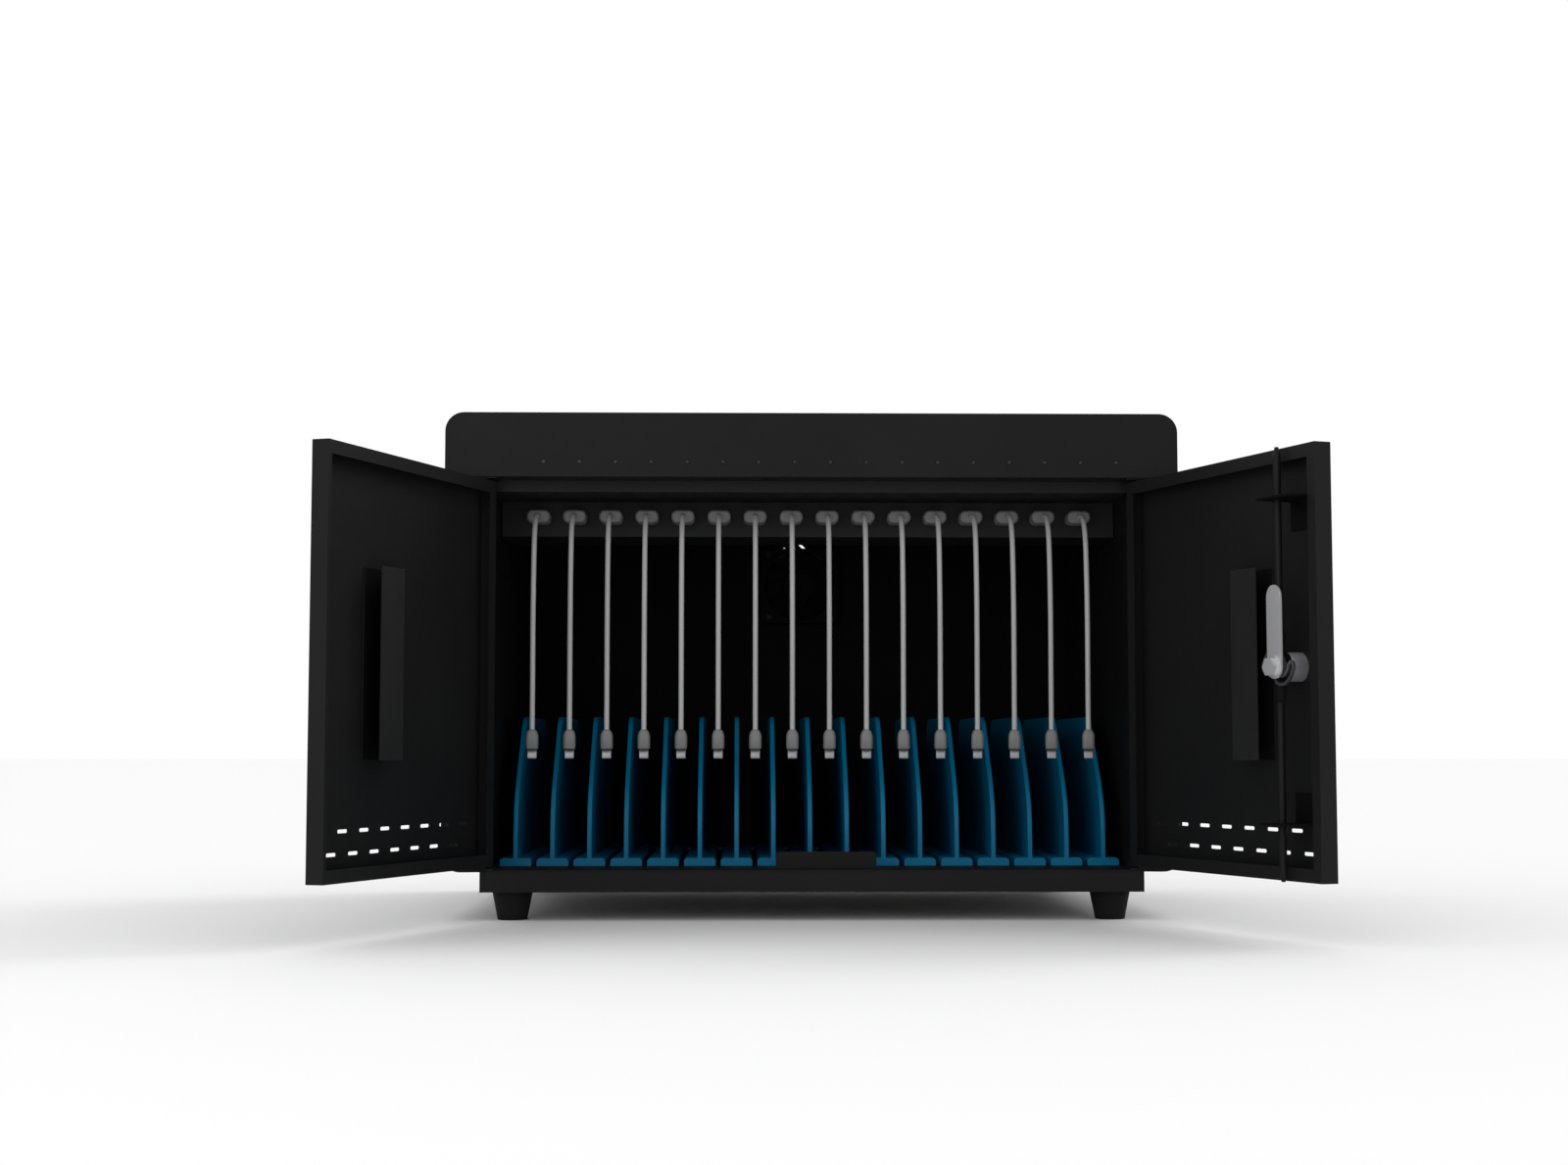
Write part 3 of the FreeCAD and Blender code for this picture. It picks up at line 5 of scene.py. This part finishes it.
import bmesh
import bpy
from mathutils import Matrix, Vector


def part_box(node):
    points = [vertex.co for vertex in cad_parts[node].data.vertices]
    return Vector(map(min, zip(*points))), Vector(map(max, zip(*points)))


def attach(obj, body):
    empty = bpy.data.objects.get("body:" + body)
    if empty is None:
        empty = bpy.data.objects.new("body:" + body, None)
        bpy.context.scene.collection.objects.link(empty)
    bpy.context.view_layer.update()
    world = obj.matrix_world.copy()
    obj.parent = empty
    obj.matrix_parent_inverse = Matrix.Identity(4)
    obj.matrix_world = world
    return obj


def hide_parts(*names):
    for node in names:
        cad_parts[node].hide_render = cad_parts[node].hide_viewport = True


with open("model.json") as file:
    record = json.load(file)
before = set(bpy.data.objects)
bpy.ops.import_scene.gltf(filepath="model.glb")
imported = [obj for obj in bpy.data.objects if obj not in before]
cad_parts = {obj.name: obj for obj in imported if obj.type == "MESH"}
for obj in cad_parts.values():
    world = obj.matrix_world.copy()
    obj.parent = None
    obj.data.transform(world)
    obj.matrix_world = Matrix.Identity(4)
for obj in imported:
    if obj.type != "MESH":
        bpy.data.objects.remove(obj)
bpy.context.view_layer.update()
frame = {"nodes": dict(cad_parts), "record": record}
nodes = frame["nodes"]
front_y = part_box("front_fascia")[0][1]


# Materials

DRIFT_SCALE = 9.0
DRIFT_DETAIL = 4.0
DRIFT_STOPS = (0.3, 0.7)
GLOSS_COARSER = 12
GLOSS_DETAIL = 3.0
GLOSS_SPREAD = 0.08
LEAST_ROUGHNESS = 0.02
RELIEF_STRENGTH = 0.25


def add_node(tree, kind, **inputs):
    """Adds a shader node and sets its inputs, whose names have underscores in place of spaces."""
    node = tree.nodes.new(kind)
    for name, setting in inputs.items():
        node.inputs[name.replace("_", " ")].default_value = setting
    return node


def noise_at(tree, spot, scale, detail=2.0):
    noise = add_node(tree, "ShaderNodeTexNoise", Scale=scale, Detail=detail)
    tree.links.new(spot, noise.inputs["Vector"])
    return noise.outputs["Fac"]


def surface(name, color, roughness, metallic=0.0, specular=0.5, tint=0.12, grain=900.0, depth=0.00003,
            stretch=(1, 1, 1)):
    """A material with drifting colour, uneven gloss and a fine surface grain."""
    material = bpy.data.materials.new(name)
    material.use_nodes = True
    tree = material.node_tree
    shader = tree.nodes["Principled BSDF"]
    shader.inputs["Metallic"].default_value = metallic
    shader.inputs["Specular IOR Level"].default_value = specular
    place = add_node(tree, "ShaderNodeTexCoord").outputs["Object"]
    mapping = add_node(tree, "ShaderNodeMapping", Scale=stretch)
    tree.links.new(place, mapping.inputs["Vector"])
    spot = mapping.outputs["Vector"]

    drift = add_node(tree, "ShaderNodeValToRGB")
    for stop, position, factor in zip(drift.color_ramp.elements, DRIFT_STOPS, (1 - tint, 1 + tint)):
        stop.position = position
        stop.color = [min(1.0, part * factor) for part in color] + [1.0]
    tree.links.new(noise_at(tree, place, DRIFT_SCALE, DRIFT_DETAIL), drift.inputs["Fac"])
    tree.links.new(drift.outputs["Color"], shader.inputs["Base Color"])

    smoothest = max(LEAST_ROUGHNESS, roughness - GLOSS_SPREAD)
    gloss = add_node(tree, "ShaderNodeMapRange", To_Min=smoothest, To_Max=roughness + GLOSS_SPREAD)
    tree.links.new(noise_at(tree, spot, grain / GLOSS_COARSER, GLOSS_DETAIL), gloss.inputs["Value"])
    tree.links.new(gloss.outputs["Result"], shader.inputs["Roughness"])

    relief = add_node(tree, "ShaderNodeBump", Strength=RELIEF_STRENGTH, Distance=depth)
    tree.links.new(noise_at(tree, spot, grain), relief.inputs["Height"])
    tree.links.new(relief.outputs["Normal"], shader.inputs["Normal"])
    return material


BRUSHED = (1, 1, 0.1)
FINE = {"grain": 1500.0, "depth": 0.00001}
finishes = {
    "black_coat": surface("black_coat", (0.0096, 0.0096, 0.0098), 0.5, specular=0.1),
    "blue_plastic": surface("blue_plastic", (0.002, 0.15, 0.29), 0.42, specular=0.15, grain=600.0),
    "foot_rubber": surface("foot_rubber", (0.0085, 0.0085, 0.0085), 0.7, specular=0.1, grain=500.0,
                           depth=0.00006),
    "plated_steel": surface("plated_steel", (0.64, 0.64, 0.66), 0.42, metallic=0.6, stretch=BRUSHED),
    "lock_chrome": surface("lock_chrome", (0.4, 0.4, 0.42), 0.35, metallic=0.6, **FINE),
    "nylon": surface("nylon", (0.02, 0.02, 0.02), 0.5),
    "cable_jacket": surface("cable_jacket", (0.42, 0.42, 0.42), 0.5, tint=0.06, grain=1500.0),
    "plug_grip": surface("plug_grip", (0.165, 0.165, 0.165), 0.45, grain=1200.0),
    "circuit_board": surface("circuit_board", (0.01, 0.09, 0.03), 0.4),
    "lamp_lens": surface("lamp_lens", (0.019, 0.02, 0.019), 0.15, specular=0.25, grain=200.0,
                         depth=0.000005),
    "black_plastic": surface("black_plastic", (0.008, 0.008, 0.008), 0.5, grain=1100.0),
    "supply_case": surface("supply_case", (0.5, 0.5, 0.5), 0.4, metallic=1.0),
}
black_rod = surface("black_rod", (0.007, 0.007, 0.007), 0.45, specular=0.12, stretch=BRUSHED)
# A lighter copy of the black coat that is painted light: it brightens the recessed deck, the hub housing
# and the door stiffeners as if more light reached them
painted_light_coat = surface("painted_light_coat", (0.0155, 0.0155, 0.0158), 0.5, specular=0.12)
# A near-black coat that is painted shade: it darkens the fan, the rod guides, the insides of the stiffener
# channels and the rear panel's inner face, where they lie in shade
painted_shade_coat = surface("painted_shade_coat", (0.004, 0.004, 0.004), 0.65, specular=0.04)
tip_steel = surface("tip_steel", (0.26, 0.26, 0.27), 0.35, metallic=0.8, **FINE)
cam_steel = surface("cam_steel", (0.09, 0.09, 0.095), 0.4, metallic=0.6, **FINE)
# Coats in place of a part's slot finish; the lighter black coat is painted light and the near-black coat is
# painted shade
SPECIAL_COATS = (
    (black_rod, ("upper_bolt_rod", "lower_bolt_rod", "fan_screws")),
    (cam_steel, ("scroll_plate",)),
    (painted_light_coat, ("deck", "hub_housing", "left_door_stiffener", "right_door_stiffener")),
    (painted_shade_coat, ("fan_frame", "fan_rotor", "upper_rod_guide", "lower_rod_guide")),
)

slot_of = {part["node"]: part["material_slot"] for part in frame["record"]["subparts"]}
for name, node in nodes.items():
    node.data.materials.clear()
    node.data.materials.append(finishes[slot_of[name]])
for coat, names in SPECIAL_COATS:
    for name in names:
        nodes[name].data.materials[0] = coat

OPEN_ANGLE = math.radians(109.4)
HOLLOW_DEPTH = 0.003
FACING = 0.9
INNER_FACING = 0.5


def paint_hollow_shade(piece, side):
    """Paints shade into the inside of a channel, open towards its door's free edge, with the dark painted
    shade coat.
    """
    along = Vector((side * -math.cos(OPEN_ANGLE), -math.sin(OPEN_ANGLE), 0))
    inward = Vector((side * -math.sin(OPEN_ANGLE), math.cos(OPEN_ANGLE), 0))
    piece.data.materials.append(painted_shade_coat)
    for way in (along, inward, -inward):
        reach = {face.index: (piece.matrix_world @ face.center).dot(way) for face in piece.data.polygons}
        outermost = max(reach.values())
        for face in piece.data.polygons:
            turned = (piece.matrix_world.to_3x3() @ face.normal).normalized().dot(way) > FACING
            if turned and reach[face.index] < outermost - HOLLOW_DEPTH:
                face.material_index = 1


# The insides of both stiffener channels get painted shade
paint_hollow_shade(nodes["left_door_stiffener"], -1)
paint_hollow_shade(nodes["right_door_stiffener"], 1)

# The rear panel's inner face gets the dark painted shade coat, standing in for the shade inside the cabinet
rear_mesh = nodes["rear_panel"].data
rear_mesh.materials.append(painted_shade_coat)
for face in rear_mesh.polygons:
    face.material_index = int(face.normal.y < -INNER_FACING)

EDGE_ROUNDS = {
    0.0009: ("indicator_lights",),
    0.0006: ("bay_dividers", "rubber_feet", "lock_tongue", "tongue_bolt", "lock_body"),
    0.0003: ("left_door_stiffener", "right_door_stiffener", "catch_plate", "hinge_brackets"),
}
SHARP_ANGLE = math.radians(40)
WELD_REACH = 0.000002


def round_edges(piece, width):
    """Softens a solid's sharp edges so that they catch the light."""
    weld = piece.modifiers.new("weld", "WELD")
    weld.merge_threshold = WELD_REACH
    bevel = piece.modifiers.new("round", "BEVEL")
    bevel.width = width
    bevel.segments = 2
    bevel.limit_method = "ANGLE"
    bevel.angle_limit = SHARP_ANGLE
    bevel.harden_normals = True


for width, names in EDGE_ROUNDS.items():
    for name in names:
        round_edges(nodes[name], width)


# Cables

# Each point of a cable's line: how far forward of its exit and how far below it
ROUTE = ((0, 0), (0.010, 0), (0.0197, 0.0052), (0.0264, 0.0151), (0.0299, 0.0348), (0.0326, 0.0727),
         (0.0314, 0.1177), (0.0314, 0.1477))
CABLE_DIAMETER = 0.0035
bays = [opening for opening in frame["record"]["physics"]["openings"] if opening["name"].startswith("bay_")]
bay_centres = [(bay["box_m"][0][0] + bay["box_m"][1][0]) / 2 for bay in bays]
plug_low, plug_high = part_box("usb_plugs")
exit_y = plug_low[1]
exit_z = (plug_low[2] + plug_high[2]) / 2


def cable(index, x):
    """A cable on one smooth line, in place of its solid."""
    points = [(x, exit_y - forward, exit_z - drop, 1) for forward, drop in ROUTE]
    curve = bpy.data.curves.new(f"cable_{index:02d}", "CURVE")
    curve.dimensions = "3D"
    curve.bevel_depth = CABLE_DIAMETER / 2
    curve.bevel_resolution = 5
    spline = curve.splines.new("NURBS")
    spline.points.add(len(points) - 1)
    for point, spot in zip(spline.points, points):
        point.co = spot
    spline.order_u = 3
    spline.use_endpoint_u = True
    spline.resolution_u = 10
    piece = bpy.data.objects.new(curve.name, curve)
    bpy.context.collection.objects.link(piece)
    curve.materials.append(finishes["cable_jacket"])
    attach(piece, "cabinet")
    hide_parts(f"charge_cable_{index:02d}")
    return piece


def oval(width, height, radius, count=8):
    """Points round a rectangle with round corners, as level and upright offsets."""
    points = []
    for corner, (right, up) in enumerate(((1, -1), (1, 1), (-1, 1), (-1, -1))):
        for step in range(count + 1):
            angle = math.pi / 2 * (corner - 1 + step / count)
            points.append((right * (width / 2 - radius) + radius * math.cos(angle),
                           up * (height / 2 - radius) + radius * math.sin(angle)))
    return points


def section(along, size, inset=0.0):
    """One oval of a skin: its distance along the axis, and its width, height and corner radius."""
    width, height, radius = size
    return along, width - inset, height - inset, radius - inset / 2


def loft(name, sections, axis, material):
    """A closed skin through ovals, along the y axis or the z axis."""
    mesh = bpy.data.meshes.new(name)
    shape = bmesh.new()
    rings = []
    for along, width, height, radius in sections:
        ring = []
        for level, upright in oval(width, height, radius):
            spot = (level, along, upright) if axis == "y" else (level, upright, along)
            ring.append(shape.verts.new(spot))
        rings.append(ring)
    count = len(rings[0])
    for low, high in zip(rings, rings[1:]):
        for index in range(count):
            following = (index + 1) % count
            shape.faces.new((low[index], low[following], high[following], high[index]))
    shape.faces.new(rings[0][::-1])
    shape.faces.new(rings[-1])
    bmesh.ops.recalc_face_normals(shape, faces=shape.faces)
    for face in shape.faces:
        face.smooth = len(face.verts) == 4
    shape.to_mesh(mesh)
    shape.free()
    mesh.materials.append(material)
    return mesh


def mount(mesh, name, spot, slot, *replaced):
    """Puts a mesh on the cabinet in place of the solids that it replaces."""
    piece = bpy.data.objects.new(name, mesh)
    piece.location = spot
    bpy.context.collection.objects.link(piece)
    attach(piece, "cabinet")
    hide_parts(*replaced)
    return piece


# Sizes of ovals: width, height and corner radius
GRIP = (0.016, 0.009, 0.004)
GRIP_LENGTH = 0.018
GRIP_NOSE_INSET = 0.003
GRIP_EDGE_INSET = 0.0012
GRIP_EDGE = 0.0005
GRIP_SHOULDER = 0.0014
GRIP_TAIL_EDGE = 0.0006
RIB_COUNT = 4
RIB_START = 0.004
RIB_PITCH = 0.0024
RIB_INSET = 0.0008
RIB_SLOPE = 0.0005
RIB_FLOOR_END = 0.0012
RIB_END = 0.0017
SHELL = (0.012, 0.0045, 0.0006)
SHELL_LENGTH = 0.0122
BODY = (0.0084, 0.0054, 0.0024)
BODY_LENGTH = 0.013
BODY_EDGE = 0.0005
BODY_EDGE_INSET = 0.001
BODY_TAPER = 0.004
BODY_SHOULDER = (0.0068, 0.0048, 0.0021)
BODY_SHOULDER_DROP = 0.0015
BODY_NECK = (0.0046, 0.0044, 0.0021)
TIP = (0.0066, 0.0016, 0.0007)
TIP_END = (0.006, 0.0012, 0.0005)
TIP_LENGTH = 0.0065
TIP_EDGE = 0.0005

grip_sections = [section(0.0, GRIP, GRIP_NOSE_INSET),
                 section(GRIP_EDGE, GRIP, GRIP_EDGE_INSET),
                 section(GRIP_SHOULDER, GRIP)]
for rib in range(RIB_COUNT):
    start = RIB_START + rib * RIB_PITCH
    grip_sections += [section(start, GRIP),
                      section(start + RIB_SLOPE, GRIP, RIB_INSET),
                      section(start + RIB_FLOOR_END, GRIP, RIB_INSET),
                      section(start + RIB_END, GRIP)]
grip_sections += [section(GRIP_LENGTH - GRIP_TAIL_EDGE, GRIP),
                  section(GRIP_LENGTH, GRIP, GRIP_EDGE_INSET)]
shell_sections = [section(0.0, SHELL), section(SHELL_LENGTH, SHELL)]
body_sections = [section(-BODY_LENGTH, BODY, BODY_EDGE_INSET),
                 section(-BODY_LENGTH + BODY_EDGE, BODY),
                 section(-BODY_TAPER, BODY),
                 section(-BODY_SHOULDER_DROP, BODY_SHOULDER),
                 section(0.0, BODY_NECK)]
tip_sections = [section(-BODY_LENGTH - TIP_LENGTH, TIP_END),
                section(-BODY_LENGTH - TIP_LENGTH + TIP_EDGE, TIP),
                section(-BODY_LENGTH, TIP)]
grip_mesh = loft("plug_grip", grip_sections, "y", finishes["plug_grip"])
shell_mesh = loft("plug_shell", shell_sections, "y", finishes["plated_steel"])
body_mesh = loft("connector_body", body_sections, "z", finishes["plug_grip"])
tip_mesh = loft("connector_tip", tip_sections, "z", tip_steel)

end_forward, end_drop = ROUTE[-1]
for index, x in enumerate(bay_centres, start=1):
    cord = cable(index, x)
    mount(grip_mesh, f"plug_grip_{index:02d}", (x, exit_y, exit_z), "plug_grip", "usb_plugs")
    shell_spot = (x, exit_y + GRIP_LENGTH, exit_z)
    mount(shell_mesh, f"plug_shell_{index:02d}", shell_spot, "plated_steel", "usb_plugs")
    end = (x, exit_y - end_forward, exit_z - end_drop)
    body = mount(body_mesh, f"connector_body_{index:02d}", end, "plug_grip", "device_connectors")
    tip = mount(tip_mesh, f"connector_tip_{index:02d}", end, "plated_steel", "device_connectors")


# Studio

def flat_color(name, color, roughness, specular):
    material = bpy.data.materials.new(name)
    material.use_nodes = True
    shader = material.node_tree.nodes["Principled BSDF"]
    shader.inputs["Base Color"].default_value = (*color, 1)
    shader.inputs["Roughness"].default_value = roughness
    shader.inputs["Specular IOR Level"].default_value = specular
    return material


FLOOR_REACH = 30.0
floor_corners = [(right * FLOOR_REACH, back * FLOOR_REACH, 0)
                 for right, back in ((-1, -1), (1, -1), (1, 1), (-1, 1))]
floor_mesh = bpy.data.meshes.new("floor")
floor_mesh.from_pydata(floor_corners, [], [(0, 1, 2, 3)])
floor_mesh.materials.append(flat_color("floor_white", (0.97, 0.97, 0.97), roughness=0.9, specular=0.1))
floor = bpy.data.objects.new("floor", floor_mesh)
bpy.context.collection.objects.link(floor)

# The world is white where it is seen or reflected, and lights the part a little less
SKY_LIGHT = 0.78
world = bpy.data.worlds.new("studio")
bpy.context.scene.world = world
world.use_nodes = True
tree = world.node_tree
tree.nodes.clear()
backdrop = tree.nodes.new("ShaderNodeBackground")
backdrop.inputs["Color"].default_value = (1, 1, 1, 1)
rays = tree.nodes.new("ShaderNodeLightPath")
seen = rays.outputs["Is Camera Ray"]
for kind in ("Is Glossy Ray", "Is Transmission Ray"):
    either = tree.nodes.new("ShaderNodeMath")
    either.operation = "MAXIMUM"
    tree.links.new(seen, either.inputs[0])
    tree.links.new(rays.outputs[kind], either.inputs[1])
    seen = either.outputs["Value"]
level = add_node(tree, "ShaderNodeMapRange", To_Min=SKY_LIGHT, To_Max=1.0)
tree.links.new(seen, level.inputs["Value"])
tree.links.new(level.outputs["Result"], backdrop.inputs["Strength"])
out = tree.nodes.new("ShaderNodeOutputWorld")
tree.links.new(backdrop.outputs["Background"], out.inputs["Surface"])


def softbox(name, spot, target, size, power):
    light = bpy.data.lights.new(name, "AREA")
    light.shape = "RECTANGLE"
    light.size, light.size_y = size
    light.energy = power
    lamp = bpy.data.objects.new(name, light)
    lamp.location = spot
    lamp.rotation_euler = (Vector(target) - Vector(spot)).to_track_quat("-Z", "Y").to_euler()
    bpy.context.collection.objects.link(lamp)


def soft_sun(name, toward, strength, spread):
    light = bpy.data.lights.new(name, "SUN")
    light.energy = strength
    light.angle = math.radians(spread)
    lamp = bpy.data.objects.new(name, light)
    lamp.rotation_euler = Vector(toward).to_track_quat("-Z", "Y").to_euler()
    bpy.context.collection.objects.link(lamp)


softbox("front_fill", spot=(-1.4, -3.0, 0.9), target=(0.0, 0.0, 0.15), size=(2.2, 1.6), power=15.0)
soft_sun("top_light", toward=(0.0, -0.5, -0.866), strength=0.37, spread=40)
soft_sun("right_light", toward=(-0.7, -0.4, -0.6), strength=0.52, spread=26)

# Camera, from the fit to the photograph

LENS_MM = 51.63
SENSOR_MM = 36.0
CLIP_END = 100.0
YAW = 0.0197
PITCH = 0.0749
CAMERA_X = -0.04806
CAMERA_Z = 0.1108
CAMERA_DISTANCE = 1.4814
camera_data = bpy.data.cameras.new("camera")
camera_data.sensor_fit = "HORIZONTAL"
camera_data.sensor_width = SENSOR_MM
camera_data.lens = LENS_MM
camera_data.clip_end = CLIP_END
camera = bpy.data.objects.new("camera", camera_data)
camera.location = (CAMERA_X, front_y - CAMERA_DISTANCE, CAMERA_Z)
camera.rotation_euler = (math.pi / 2 + PITCH, 0.0, -YAW)
bpy.context.collection.objects.link(camera)
bpy.context.scene.camera = camera
bpy.context.scene.view_settings.view_transform = "Standard"
